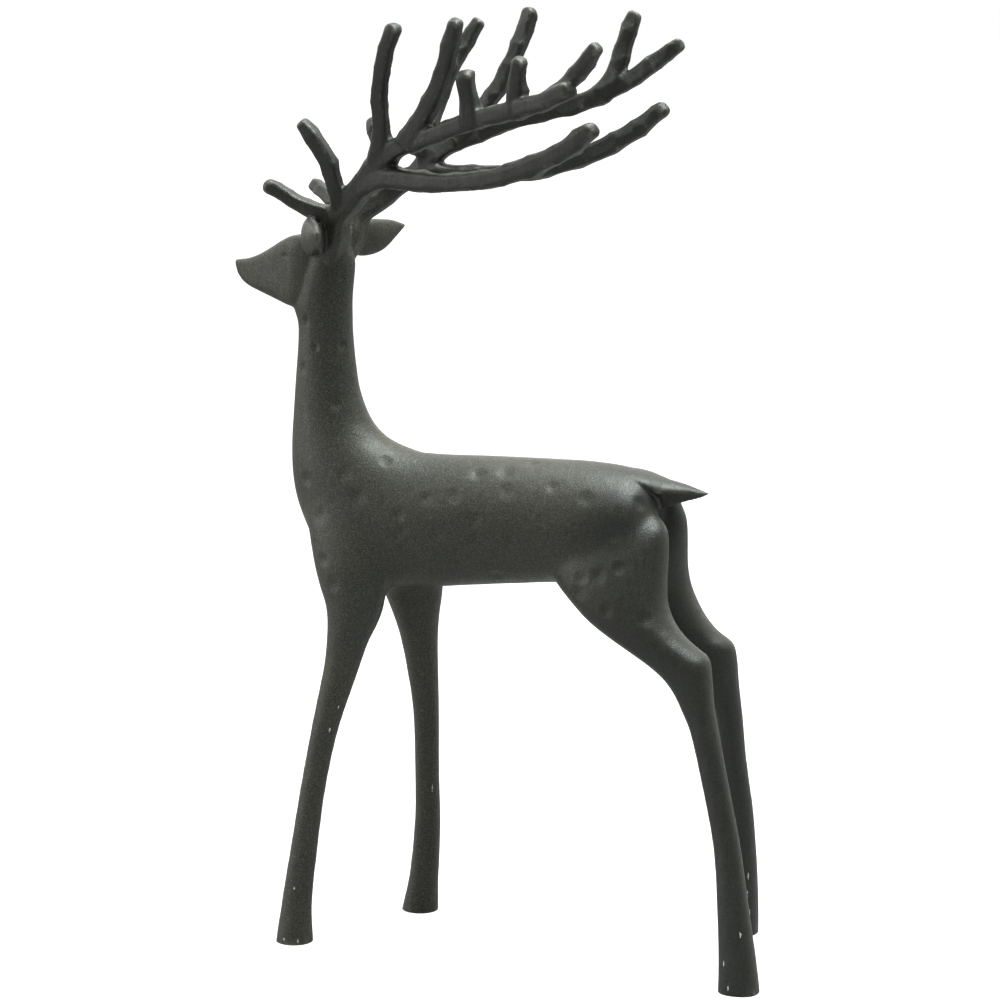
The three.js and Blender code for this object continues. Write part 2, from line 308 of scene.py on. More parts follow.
# x and height on the back's line, x and height on the belly's line, half width
TORSO = [
    (-88, 392, -109, 392, 11.5), (-85.2, 374, -114.5, 374, 13.2), (-86.8, 356, -119.5, 356, 13.4),
    (-87, 350, -121, 349.5, 13.6), (-87, 343.5, -118, 342.5, 13.7),
    (-87, 337, -117.6, 335, 13.8), (-85.5, 320, -118.8, 318, 14.6),
    (-83.8, 306.8, -120, 303, 15.6), (-80.6, 296, -121, 289, 17),
    (-75.7, 286.2, -122.2, 272, 19.5), (-68.2, 278.7, -121.5, 255, 22.5),
    (-58.5, 274.2, -118, 239, 25), (-46.5, 271.2, -104.5, 213.5, 27.5),
    (-34, 270.7, -82, 197, 29.3), (-18, 271, -45, 196.6, 30), (-3, 271.1, -12, 199.6, 29.8),
    (25, 271, 25, 203, 30), (52, 270.5, 50, 205.2, 31), (68, 268.6, 69, 210, 30),
    (76, 266.8, 77, 217, 28.5), (82, 263.6, 83, 226, 22), (87, 256, 87, 236, 11),
]
body_pieces = [
    limb("torso", rings_between([(*row, 0) for row in TORSO], LIMB_PITCH), BODY_SPACE,
         sides=48, nose=True),
]

# %% [markdown]
# ## Front legs
# The front legs are tapered rods that widen into plain feet, and the left one leads. Both
# have one table of sizes, and each has its own line of middles. All four legs run on
# below the floor, and are cut flat there later, which gives soles that lie in one plane.

# %% Front legs
# height, half depth, half width, distance from the middle plane; then x of each height
FORELEG = [
    (240, 28.5, 14, 13), (222, 24, 15.5, 16), (206, 21, 15.5, 19), (189, 17, 13.7, 21),
    (171, 12, 11.3, 22.5), (155, 9.8, 9.4, 24), (121, 7.6, 7.4, 28), (88, 7.1, 6.9, 31),
    (54, 7.6, 7.3, 34), (20, 8.6, 8.4, 36.5), (0, 10.5, 10.2, 38), (-6, 11, 10.8, 38.5),
]
LEFT_FORE_X = (-82, -82.5, -81, -79.3, -82.7, -85.9, -94.3, -100.5, -105.1, -109.2, -110, -110)
RIGHT_FORE_X = (-66.5, -64, -61, -59, -57.4, -56.2, -54.7, -55.2, -56, -59.2, -62, -63)


def foreleg(name, side, middles):
    stations = [(x, side * out, z, wide, deep)
                for x, (z, deep, wide, out) in zip(middles, FORELEG)]
    return limb(name, rings_along(stations, LIMB_PITCH), BODY_SPACE)


body_pieces += [
    foreleg("left foreleg", LEFT, LEFT_FORE_X),
    foreleg("right foreleg", RIGHT, RIGHT_FORE_X),
]

# %% [markdown]
# ## Hind legs
# The hind legs are broad at the thigh and bend sharply at the hock. Rings square to a
# middle line would cross at that bend, so these are held between the front and the rear
# outline. The section is nearly an oval, a little squared. The right leg stands further
# forward, so it has outlines of its own.

# %% Hind legs
THIGH_SQUARENESS = 2.4
# x and height on the rear outline, x and height on the front outline
LEFT_HIND = [
    (87, 247, 31, 236), (94.8, 239, 31, 217), (96, 223, 34.5, 206.8), (96, 210, 42.5, 199.2),
    (97.2, 199, 53, 189.6), (101, 190.2, 65.4, 181.5), (107.7, 182.4, 78.3, 174),
    (115.4, 176.8, 89.1, 167.2), (121.4, 172.6, 97.5, 160.3), (123.2, 163.5, 103.4, 152.8),
    (124.7, 150, 109, 142.1), (127.1, 139.9, 112.3, 136.1), (134.6, 108.7, 121, 105.3),
    (142.2, 77.8, 128.1, 75.2), (148.1, 46.6, 131.6, 44.4), (153.7, 14.8, 133.5, 13.2),
    (155.5, 0.3, 133.5, -0.3), (156.2, -6, 133.4, -6),
]
RIGHT_HIND = [
    (93.5, 253, 36, 234), (98, 239, 37, 214), (98, 224, 40, 203), (97.4, 212.5, 46, 195),
    (98.4, 202, 55, 185), (101.8, 192, 66, 176), (107, 182, 78, 167.5),
    (113.8, 174.4, 88, 160.5), (121.5, 169, 95.5, 154), (123.4, 160.5, 101.5, 147.5),
    (124, 149, 106, 138.5), (125.6, 132, 110.5, 129), (127.9, 100.3, 114, 97.7),
    (131, 71.4, 117.2, 69.6), (132.4, 42, 116.3, 41), (133, 13.3, 113.4, 12.7),
    (133, 0, 111.4, 0), (132.7, -6, 110.3, -6),
]
# half width, distance from the middle plane
HIND_WIDTHS = [
    (9, 13), (15, 15.5), (18, 17.5), (18.3, 20.3), (17.6, 23), (16.4, 25), (14.8, 26.8),
    (13, 28), (11.8, 28.8), (10.4, 29.8), (9.2, 31.3), (8, 33.5), (7.2, 38), (7.2, 42.5),
    (8.2, 47), (9.8, 50), (10.6, 50.4), (11, 50.6),
]


def hindleg(name, side, outlines):
    stations = [(*row, wide, side * out) for row, (wide, out) in zip(outlines, HIND_WIDTHS)]
    return limb(name, rings_between(stations, LIMB_PITCH), BODY_SPACE,
                section=slab(THIGH_SQUARENESS))


body_pieces += [
    hindleg("left hind leg", LEFT, LEFT_HIND),
    hindleg("right hind leg", RIGHT, RIGHT_HIND),
]

# %% [markdown]
# ## Weights for where a tool may work
# Several steps should act only on part of the stag, such as on the shoulders and not on
# the feet. A vertex group holds a weight for each point, worked out from where the point
# is. Weights are rounded to a few dozen levels, so that each level is one quick call.

# %% Weights
LEVELS = 64


def smoothstep(low, high, value):
    t = np.clip((value - low) / (high - low), 0.0, 1.0)
    return t * t * (3 - 2 * t)


def points_in(piece, space):
    """The piece's points in a drawing space, in millimetres."""
    flat = np.empty(3 * len(piece.data.vertices))
    piece.data.vertices.foreach_get("co", flat)
    back = np.array(space.inverted())
    return flat.reshape(-1, 3) @ back[:3, :3].T + back[:3, 3]


def normals_in(piece, space):
    """The piece's outward directions in a drawing space."""
    flat = np.empty(3 * len(piece.data.vertices))
    piece.data.vertex_normals.foreach_get("vector", flat)
    return flat.reshape(-1, 3) @ np.array(space.to_3x3().normalized())


def weigh(piece, name, weights):
    """Writes weights, 0 to 1, as a vertex group."""
    group = piece.vertex_groups.new(name=name)
    steps = np.rint(np.clip(weights, 0, 1) * LEVELS).astype(int)
    for step in range(1, LEVELS + 1):
        chosen = np.nonzero(steps == step)[0]
        if len(chosen):
            group.add(chosen.tolist(), step / LEVELS, "REPLACE")
    return name

# %% [markdown]
# ## Melting the body
# The five body limbs are remeshed into one skin, which leaves a sharp valley wherever two
# of them meet. In the real casting those valleys are wide soft fillets. Smoothing a
# coarse skin gives exactly that, since each pass spreads over a whole cell. The lower
# legs, the neck and the end of the rump keep their shape, so their weight is low.

# %% Body skin
BODY_CELL = 2.2 * MM
FILLET_PASSES = 36
LEAST_FILLET = 0.05
LEGS_FADE = (165, 205)
NECK_FADE, NECK_SPARED = (268, 290), 0.8
RUMP_FADE, RUMP_SPARED = (78, 88), 0.85
body = melt_together("body", body_pieces)
finish_with(body, "REMESH", mode="VOXEL", voxel_size=BODY_CELL, use_smooth_shade=True)

x, y, z = points_in(body, BODY_SPACE).T
soft = smoothstep(*LEGS_FADE, z) * (1 - NECK_SPARED * smoothstep(*NECK_FADE, z))
soft *= 1 - RUMP_SPARED * smoothstep(*RUMP_FADE, x)
weigh(body, "fillets", LEAST_FILLET + (1 - LEAST_FILLET) * soft)
finish_with(body, "SMOOTH", factor=0.5, iterations=FILLET_PASSES, vertex_group="fillets")
finish_with(body, "SUBSURF", levels=1, render_levels=1)
print("body skin:", len(body.data.polygons), "faces")

# %% [markdown]
# ## Tail
# A short leaf that carries on the line of the back. From above it is smooth and round, and
# from below it is hollow on both sides of a keel, with a sharp rim that catches light. It
# is a limb with a section of its own, and is joined after the body's smoothing, which
# would take its rim away.

# %% Tail
FINE_PITCH = 2.0
# x, height of the crown, half width, depth of the keel below the rim
TAIL = [
    (64, 267.8, 9, 4), (70, 267.8, 12, 6), (76, 266.9, 13.6, 6.4), (80, 266, 14, 7.5),
    (84, 264.7, 13.2, 9.2), (88, 263.4, 12, 10.2), (94, 261.9, 9.4, 8.2), (100, 260.5, 6.8, 6.2),
    (106, 258.6, 4, 4), (110.5, 257.2, 2, 2.2), (113.4, 256.3, 0.7, 0.7),
]
tail_stations = [(x, 0, crown - CROWN * keel, wide, keel) for x, crown, wide, keel in TAIL]
tail = limb("tail", rings_along(tail_stations, FINE_PITCH), BODY_SPACE, section=keeled, sides=48)

# %% [markdown]
# ## Head
# The head is a slab with two flat cheeks and a crisp profile: a straight forehead, a
# straight jaw and a muzzle cut to a point. Its rings fan between the profile's top and its
# underside, and the last ones sink into the neck, which draws the cheek's edge as a soft
# crease.

# %% Head
CHEEK_SQUARENESS = 6
# x and height on the profile's top, x and height on its underside, half width
HEAD = [
    (-59.2, 372.9, -58.6, 369.2, 3.2), (-57.8, 373.1, -56.9, 365.2, 4.2),
    (-55, 373.4, -53.8, 361.8, 5.2), (-50, 374.2, -49.2, 359, 6.4),
    (-42, 376.8, -42.4, 356.6, 8.2), (-33, 381.2, -34, 353.8, 10),
    (-26, 385.1, -27.5, 351.6, 11.4), (-19, 388.1, -22, 349.8, 12.7),
    (-12, 388.9, -17.5, 349, 13.5),
    (-6, 388.2, -12, 351, 13), (1, 385, -5, 356, 11),
]
head = limb("head", rings_between([(*row, 0) for row in HEAD], FINE_PITCH), HEAD_SPACE,
            section=slab(CHEEK_SQUARENESS), sides=64)

# %% [markdown]
# ## Ears
# Each ear is a leaf that stands out sideways. The left one is pricked higher, and shows a
# lobe behind its leaf with a narrow groove between the two. The groove could be cut in
# afterwards. Here two leaves are drawn that touch, and it stays open where their round
# sides meet.

# %% Ears
# behind the neck's axis, out from the middle, height, half height, half thickness
RIGHT_EAR = [
    (7, 8, 384, 6.5, 4.0), (10.5, 18, 385.5, 9.6, 4.4), (14, 29, 387, 9.2, 4.1),
    (17, 39, 389.6, 5.6, 2.9), (19.5, 47.5, 391.2, 1.2, 1.0),
]
LEFT_EAR = [
    (-3, 8, 385, 6.5, 4.2), (0, 17, 387.8, 9.6, 5), (4.2, 26, 389.9, 10.2, 5.1),
    (11, 34, 391, 8.4, 4), (17, 41, 392.4, 5, 2.6), (20.5, 45.5, 393, 1.4, 1.2),
]
LEFT_LOBE = [
    (1, 8, 385, 5.5, 2.2), (5, 16, 387.3, 8, 2.2), (8.8, 24, 389.2, 8, 1.9),
    (11.4, 30, 390.4, 6.6, 1.4),
]


def leaf(name, side, stations):
    placed = [(back, side * out, z, high, thick) for back, out, z, high, thick in stations]
    rings = rings_along(placed, FINE_PITCH, sideways=(0, 0, 1))
    return limb(name, rings, HEAD_SPACE, sides=40, tip=True)


ears = [
    leaf("left ear", LEFT, LEFT_EAR),
    leaf("left ear lobe", LEFT, LEFT_LOBE),
    leaf("right ear", RIGHT, RIGHT_EAR),
]

# %% [markdown]
# ## Antlers
# Each antler forks above the skull into an upper beam, which carries most of the tines,
# and a long lower beam. One could be copied for the other, but the real two are alike and
# not equal. So some branches are shared and lean a little by side, and the rest belong to
# one side only. Each is a line of points with a radius.

# %% Antler tables
# behind the neck's axis, out from the middle, height, radius
LEFT_BEAM = [
    (4, 6, 377, 7), (9, 9.5, 388, 7.6), (13.5, 12.5, 399.5, 7), (24, 15.5, 409.5, 6.9),
    (34.2, 18, 419.5, 6.6), (44.2, 20, 429.4, 6.5), (57, 23, 438, 6), (75, 27, 443.2, 5.4),
    (92, 31, 448.6, 5.4), (107, 34, 453, 5.5), (126, 38, 457.6, 5.4), (146, 41.5, 461.6, 4.6),
]
RIGHT_BEAM = [
    (4, 6, 377, 7), (9, 9.5, 388, 7.6), (12.6, 12.5, 399.4, 6), (25, 15.5, 408.2, 6),
    (37.5, 18, 417, 4.8), (48, 20.5, 427.2, 5.6), (60, 23, 436.4, 5.4), (75, 27, 442.6, 5.2),
    (92, 31, 449.4, 4.9), (107, 34, 453.2, 4.7), (126, 38, 458.4, 5.2), (146, 41.5, 465, 5.3),
]
LEFT_CROWN = [
    (134, 39, 458.6, 5.2), (149, 42, 462.6, 5.1), (163.4, 44.5, 469.2, 5),
    (175, 47, 479.2, 4.7), (185, 48.7, 490.4, 4.4),
]
RIGHT_CROWN = [
    (134, 39, 460.8, 5.2), (149, 42, 467.2, 5.3), (163, 44.5, 475.2, 5.2), (175, 47, 484, 4.9),
    (184.6, 48.7, 490.8, 4.4),
]
LOWER_BEAM = [
    (33, 17.5, 417.5, 7), (48, 20.5, 421.6, 6.2), (64, 23, 421.4, 6.1), (90.5, 27.5, 421, 5.3),
    (116, 31.5, 424.3, 5.5), (142, 35.5, 431.4, 5.7), (163, 39, 440.8, 5.5), (178, 42, 450.6, 5),
]
FIRST_BROW = [
    (15, 12, 398.6, 6), (2, 16.5, 402.8, 5.4), (-9, 20, 407.8, 4.6), (-20.5, 25.5, 415.4, 4.2),
]
SECOND_BROW = [
    (18, 14.5, 402, 5.2), (17, 20, 415, 4.8), (16.3, 27, 430.5, 5.2), (11.4, 32, 441.2, 4.9),
    (6, 34.5, 449, 4),
]
FRONT_TINE = [
    (45, 20, 431, 6.8), (48.6, 25, 446, 5.2), (51.6, 32, 463, 4.8), (55.6, 37, 476.5, 4.8),
    (61, 41.5, 488.5, 4.7), (67, 45, 498.6, 4.4),
]
LEFT_MIDDLE_TINE = [
    (63.8, 24, 440.5, 7.2), (77.6, 29, 457.5, 5.7), (89.2, 34, 474, 5.2),
    (97.2, 38.5, 489.5, 4.8), (102, 42, 502, 4.4),
]
RIGHT_MIDDLE_TINE = [
    (65, 24, 440.5, 6.2), (80, 29, 458, 5.2), (90.9, 34, 475, 5.1), (96.6, 38.5, 491.5, 4.6),
    (100.2, 42, 506.8, 4.2),
]
LEFT_SHORT_TINE = [(108.4, 34.5, 452, 6.6), (107.8, 37, 464.5, 5.4), (106.9, 40, 475.2, 4.9)]
LEFT_REAR_TINE = [(136.5, 39.5, 459, 5.6), (138, 42, 472.5, 4.7), (140.5, 44, 482.6, 4.4)]
LEFT_STUB = [(138, 41, 460.5, 5), (156, 45.5, 464.6, 5.4), (170, 50.5, 470.2, 5.4)]
RIGHT_REAR_TINE = [
    (146, 41.5, 466, 6.2), (153.2, 43, 480, 5), (157, 45, 493, 4.7), (160.6, 47, 505.4, 4.3),
]
# how far the tip of a shared branch moves back and up on each side
LEFT_LEANS = {"lower beam": (1, -1.2)}
RIGHT_LEANS = {"lower beam": (1.2, 7.2), "first brow": (-2.5, -1.8),
               "second brow": (2.5, -1), "front tine": (0.4, 3.2)}
print("the lower beam reaches back", LOWER_BEAM[-1][0] - LOWER_BEAM[0][0], "mm")

# %% [markdown]
# ## Drawing out the branches
# The branches look whittled, with long flats along them. So the section is a square whose
# corners are cut off flat, and whose broad sides face out and in. A lean grows with the
# square of the way along, which bends a branch gently and leaves its root in place.

# %% Antler branches
CORNER_CUT = 0.61
BRANCH_WIDE, BRANCH_DEEP = 0.95, 0.93
BRANCH_PITCH = 3.0


def whittled(x, y):
    """A square section with its corners cut off flat."""
    reach = max(abs(x), abs(y), (abs(x) + abs(y)) * CORNER_CUT)
    return x / reach, y / reach


SHARED = {"lower beam": LOWER_BEAM, "first brow": FIRST_BROW, "second brow": SECOND_BROW,
          "front tine": FRONT_TINE}
OWN = {
    LEFT: {"beam": LEFT_BEAM, "crown": LEFT_CROWN, "middle tine": LEFT_MIDDLE_TINE,
           "short tine": LEFT_SHORT_TINE, "rear tine": LEFT_REAR_TINE, "stub": LEFT_STUB},
    RIGHT: {"beam": RIGHT_BEAM, "crown": RIGHT_CROWN, "middle tine": RIGHT_MIDDLE_TINE,
            "rear tine": RIGHT_REAR_TINE},
}


def branch(name, side, points, lean=(0, 0)):
    stations = []
    for i, (back, out, z, radius) in enumerate(points):
        share = (i / (len(points) - 1)) ** 2
        at = (back + share * lean[0], side * out, z + share * lean[1])
        stations.append((*at, radius * BRANCH_WIDE, radius * BRANCH_DEEP))
    rings = rings_along(stations, BRANCH_PITCH)
    return limb(name, rings, HEAD_SPACE, section=whittled, tip=True)


antlers = []
for side, word, leans in ((LEFT, "left", LEFT_LEANS), (RIGHT, "right", RIGHT_LEANS)):
    for name, points in SHARED.items():
        antlers.append(branch(f"{word} {name}", side, points, leans.get(name, (0, 0))))
    for name, points in OWN[side].items():
        antlers.append(branch(f"{word} {name}", side, points))
print("antler branches:", len(antlers))

# %% [markdown]
# ## One skin
# Everything is joined and remeshed finely, so that walls inside the casting vanish and
# the stag is one closed skin. A light smoothing then takes off the last traces of the
# rings. The head, ears, tail and antlers are mostly spared, because their crisp rims are
# what the eye follows. A second smoothing softens the crease where the cheeks end and the
# neck begins, which falls along a slanting line.

# %% Fine skin
SKIN_CELL = 0.8 * MM
SKIN_PASSES, CREASE_PASSES = 5, 14
CRISP_SPARED = 0.7
# from none to all of each crisp form, in its own direction
CHEEKS_FROM, HEAD_FROM = (-6, -12), (340, 348)
EARS_OUT, EARS_BELOW, EARS_ABOVE = (11, 15), (404, 400), (365, 370)
TAIL_FROM, TAIL_ABOVE = (76, 80), (246, 250)
ANTLERS_ABOVE = (404, 412)
# the crease: its top, how it slants, its half width, and where it starts and ends
CREASE_TOP, CREASE_SLANT, CREASE_WIDE = (-6, 388), 0.22, 5
CREASE_ABOVE, CREASE_BELOW = (342, 347), (392, 386)
CHEEKS_OUT = 17

stag = melt_together("stag_casting", [body, tail, head, *ears, *antlers])
stag.vertex_groups.clear()
finish_with(stag, "REMESH", mode="VOXEL", voxel_size=SKIN_CELL, use_smooth_shade=True)

hx, hy, hz = points_in(stag, HEAD_SPACE).T
bx, _, bz = points_in(stag, BODY_SPACE).T
crisp_head = smoothstep(*CHEEKS_FROM, hx) * smoothstep(*HEAD_FROM, hz)
crisp_ears = smoothstep(*EARS_OUT, np.abs(hy))
crisp_ears *= smoothstep(*EARS_BELOW, hz) * smoothstep(*EARS_ABOVE, hz)
crisp_tail = smoothstep(*TAIL_FROM, bx) * smoothstep(*TAIL_ABOVE, bz)
crisp_antlers = smoothstep(*ANTLERS_ABOVE, hz)
crisp = np.clip(crisp_head + crisp_ears + crisp_tail + crisp_antlers, 0, 1)
weigh(stag, "softening", 1 - CRISP_SPARED * crisp)
finish_with(stag, "SMOOTH", factor=0.5, iterations=SKIN_PASSES, vertex_group="softening")
crease_x = CREASE_TOP[0] - (CREASE_TOP[1] - hz) * CREASE_SLANT
crease = np.exp(-(((hx - crease_x) / CREASE_WIDE) ** 2))
crease *= smoothstep(*CREASE_ABOVE, hz) * smoothstep(*CREASE_BELOW, hz)
weigh(stag, "crease", crease * (np.abs(hy) < CHEEKS_OUT))
finish_with(stag, "SMOOTH", factor=0.5, iterations=CREASE_PASSES, vertex_group="crease")
print("skin:", len(stag.data.polygons), "faces")

# %% [markdown]
# ## Hammer marks
# The neck and body carry shallow round dents that tell of the pattern's modelling. They
# could be sculpted one by one, but a table of places is easier to keep. A mark presses
# the skin in by a smooth bump of weight, using a Displace modifier without a texture. The
# right side gets the same marks moved on a little, as no two sides are struck alike.

# %% Dents
# x, height, radius along, radius up; the body's marks take the last two from a list
NECK_MARKS = [(-83, 375, 2.4, 4.2), (-88, 366, 2.4, 4.2), (-111, 342, 2.4, 4.4),
              (-104, 330, 3.0, 4.0), (-88, 330, 3.0, 4.0), (-113, 317, 2.6, 4.6),
              (-90, 298, 4.5, 5.0)]
BODY_MARKS = [(-109, 256), (-99, 238), (-96, 215), (-89, 202), (-83, 263), (-76, 251),
              (-62, 270), (-53, 276), (-52, 242), (-51, 231), (-36, 252), (-21, 254),
              (-10, 265), (5, 267), (19, 271), (-28, 230), (-9, 242), (-6, 227), (13, 230),
              (11, 214), (2, 207), (9, 258), (33, 261), (53, 256), (83, 253), (70, 238),
              (75, 221), (61, 216), (51, 214), (50, 206), (66, 198), (90, 195)]
BODY_MARK_SIZES = (5.4, 6.2, 4.8, 5.8)
DENT_DEPTH = 0.8 * MM
OTHER_SIDE_SHIFT = np.array([4.0, -3.0])
PROBE = 2.0


def press(points, side, x, z, along, up):
    """Weight of one mark: a smooth bump round the outermost point at x, z on that side."""
    near = np.hypot(points[:, 0] - x, points[:, 2] - z) < PROBE
    near &= points[:, 1] * side > 0
    if not near.any():
        return np.zeros(len(points))
    chosen = points[near]
    middle = chosen[np.argmax(chosen[:, 1] * side)]
    off = (points - middle) / (along, (along + up) / 2, up)
    return np.clip(1 - (off ** 2).sum(axis=1), 0, 1) ** 2


points = points_in(stag, BODY_SPACE)
dents = np.zeros(len(points))
for side in (LEFT, RIGHT):
    move = OTHER_SIDE_SHIFT if side == RIGHT else np.zeros(2)
    for x, z, along, up in NECK_MARKS:
        dents = np.maximum(dents, press(points, side, x, z + move[1], along, up))
    for i, (x, z) in enumerate(BODY_MARKS):
        size = BODY_MARK_SIZES[i % len(BODY_MARK_SIZES)]
        dents = np.maximum(dents, press(points, side, x + move[0], z + move[1], size, size))
weigh(stag, "dents", dents)
finish_with(stag, "DISPLACE", strength=-DENT_DEPTH, mid_level=0, vertex_group="dents")
print("dented points:", int((dents > 0).sum()))

# %% [markdown]
# ## Eyes
# The eyes are no more than shallow oval thumb marks high on the flat cheeks. They are
# pressed in by the same tool as the dents, which keeps them as soft as the real ones.

# %% Eyes
EYE = (-22.6, 378.0)
EYE_SIZE = (3.0, 2.1)
EYE_DEPTH = 0.55 * MM
points = points_in(stag, HEAD_SPACE)
eyes = np.zeros(len(points))
for side in (LEFT, RIGHT):
    eyes = np.maximum(eyes, press(points, side, *EYE, *EYE_SIZE))
weigh(stag, "eyes", eyes)
finish_with(stag, "DISPLACE", strength=-EYE_DEPTH, mid_level=0, vertex_group="eyes")
print("points in the eyes:", int((eyes > 0).sum()))

# %% [markdown]
# ## Carved antlers
# The antlers look whittled: hollow scoops side by side, with a soft ridge between each
# two. A Voronoi texture gives that, because its distance to the nearest cell point,
# squared, is a field of bowls that meet in ridges. The outer sides are the calmest and
# the inner sides the roughest, so the weight follows how far the skin faces outwards. Two
# light smoothing passes then take off the thorns that a scoop leaves at a tight bend.

# %% Scoops
SCOOP = 12.0 * MM
SCOOP_DEPTH = 3.6 * MM
RIDGE_LEVEL = 0.45
# how deep the scoops go everywhere, and what edges and inner sides add to it
CARVED_ALL, CARVED_EDGES, CARVED_INSIDE = 0.15, 0.35, 0.5
EDGE_FACES, INSIDE_FACES = (0.9, 0.5), (0.1, -0.7)
CARVING_ABOVE = (396, 410)
scoops = bpy.data.textures.new("scoops", "VORONOI")
scoops.distance_metric = "DISTANCE_SQUARED"
scoops.noise_scale = SCOOP
points = points_in(stag, HEAD_SPACE)
outward = normals_in(stag, HEAD_SPACE)[:, 1] * np.sign(points[:, 1])
carved = (
    CARVED_ALL
    + CARVED_EDGES * smoothstep(*EDGE_FACES, outward)
    + CARVED_INSIDE * smoothstep(*INSIDE_FACES, outward)
)
carved *= smoothstep(*CARVING_ABOVE, points[:, 2])
weigh(stag, "carved", carved)
before = points_in(stag, BODY_SPACE)
finish_with(stag, "DISPLACE", strength=SCOOP_DEPTH, mid_level=RIDGE_LEVEL,
            vertex_group="carved", texture=scoops, texture_coords="LOCAL")
finish_with(stag, "SMOOTH", factor=0.5, iterations=2, vertex_group="carved")
moved = np.linalg.norm(points_in(stag, BODY_SPACE) - before, axis=1)
print("scoops move the skin by up to", round(float(moved.max()), 2), "mm")

# %% [markdown]
# ## A lighter mesh and flat soles
# The skin is thinned first. Decimation keeps small faces where the skin bends and large
# ones where it is plain, so little of the carving is lost. Then the feet are cut off at
# the floor and closed, so that the stag stands on four flat soles. The cut comes last,
# because thinning would bend the soles' rims below the floor.

# %% Thinning and soles
MOST_TRIANGLES = 188_000
CUT_REACH = 0.001 * MM
WELD_REACH = 0.02 * MM
SHARP_EDGE = math.radians(50)
triangles = 2 * len(stag.data.polygons)
finish_with(stag, "DECIMATE", ratio=min(1.0, MOST_TRIANGLES / triangles))
pick(stag)
bpy.ops.object.mode_set(mode="EDIT")
bpy.ops.mesh.select_all(action="SELECT")
bpy.ops.mesh.bisect(plane_co=BODY_SPACE.translation, plane_no=(0, 0, 1), clear_inner=True,
                    use_fill=True, threshold=CUT_REACH)
bpy.ops.mesh.select_all(action="SELECT")
bpy.ops.mesh.remove_doubles(threshold=WELD_REACH)
bpy.ops.mesh.quads_convert_to_tris()
bpy.ops.mesh.normals_make_consistent(inside=False)
bpy.ops.object.mode_set(mode="OBJECT")
bpy.ops.object.shade_smooth_by_angle(angle=SHARP_EDGE)
stag.vertex_groups.clear()
print("triangles:", triangles, "->", len(stag.data.polygons))

# %% [markdown]
# ## Measuring edges and hollows
# Handling rubs the paint of a casting thin on its edges, and the edges also get a painted
# highlight; the hollows get a painted shade. Both follow how sharply the skin bends. The
# bend is measured at each point from its neighbours, evened out a little, and stored on
# the mesh as two attributes that the material can read.

# %% Edge and hollow attributes
# bends, per mm, at which the paler edges, partly painted highlight, and the painted shade
# in hollows begin and are whole
WORN_AND_LIT_BEND = (0.11, 0.36)
HOLLOW_BEND = (0.04, 0.25)
EVENING_PASSES = 3


def spread(values, ends, count):
    """The mean of each point's neighbours."""
    total = np.bincount(ends[:, 0], values[ends[:, 1]], count)
    total += np.bincount(ends[:, 1], values[ends[:, 0]], count)
    near = np.bincount(ends.ravel(), minlength=count)
    return total / np.maximum(near, 1)


def write_attribute(piece, name, values):
    layer = piece.data.attributes.new(name, "FLOAT", "POINT")
    layer.data.foreach_set("value", values.astype(np.float32))


count = len(stag.data.vertices)
ends = np.empty(2 * len(stag.data.edges), dtype=np.int64)
stag.data.edges.foreach_get("vertices", ends)
ends = ends.reshape(-1, 2)
points = points_in(stag, BODY_SPACE)
normals = normals_in(stag, BODY_SPACE)
reach = np.linalg.norm(points[ends[:, 0]] - points[ends[:, 1]], axis=1)
near = np.bincount(ends.ravel(), minlength=count)
mean_square = np.bincount(ends.ravel(), np.repeat(reach ** 2, 2), count) / np.maximum(near, 1)
pull = np.stack([spread(points[:, k], ends, count) - points[:, k] for k in range(3)], axis=1)
bend = -(pull * normals).sum(axis=1) / np.maximum(mean_square, LEAST_GAP) * 2
for _ in range(EVENING_PASSES):
    bend = 0.5 * bend + 0.5 * spread(bend, ends, count)
# The paler edges are partly rubbed paint and partly a painted highlight.
write_attribute(stag, "worn_and_lit_edge", smoothstep(*WORN_AND_LIT_BEND, bend))
write_attribute(stag, "hollow", smoothstep(*HOLLOW_BEND, -bend))
print("bend, 1/mm:", [round(float(v), 3) for v in np.percentile(bend, (1, 25, 50, 75, 99))])

# %% [markdown]
# ## Chips
# A few specks of paint are missing low on the legs. They are given one by one: each is the
# point of the skin nearest to a height on the outer side of a leg.

# %% Chip attribute
# x, side position, height
CHIPS = [(-83, -34, 133), (-90, -34, 121), (-104, -34, 99), (-104, -33, 92), (-108, -44, 31),
         (-49, 28, 132), (-53, 28, 76), (146, -56, 33), (138, -58, 16), (141, -60, 4),
         (131, 40, 34), (131, 40, 25), (132, 41, 13), (-113, -46, 3), (-105, -46, 3)]
CHIP_REACH = 1.6
chips = np.zeros(count)
for place in CHIPS:
    nearest = points[np.argmin(np.linalg.norm(points - np.array(place), axis=1))]
    away = np.linalg.norm(points - nearest, axis=1)
    chips = np.maximum(chips, np.clip(1 - away / CHIP_REACH, 0, 1))
write_attribute(stag, "chips", chips)
print("points near chips:", int((chips > 0).sum()))

# %% [markdown]
# ## Tools for the finish
# The iron has a dark charcoal finish with a fine grain. It could be painted on by hand,
# but then it would need an image. Procedural nodes on the object's own coordinates give
# the same and stay put in any view. A few short helpers each add one node with its
# settings, so that the recipes below read like a list. They add to the tree that is open,
# which is the iron's here and the tent's later on.

# %% Material helpers
finish = bpy.data.materials.new("charcoal cast iron")
finish.use_nodes = True
nodes, links = finish.node_tree.nodes, finish.node_tree.links
nodes.clear()


def node(kind, label, **settings):
    new = nodes.new(kind)
    new.label = label
    for key, value in settings.items():
        setattr(new, key, value)
    return new


def feed(target, source):
    """Links a socket, or sets a plain value."""
    if isinstance(source, (int, float, tuple)):
        target.default_value = source
    else:
        links.new(source, target)


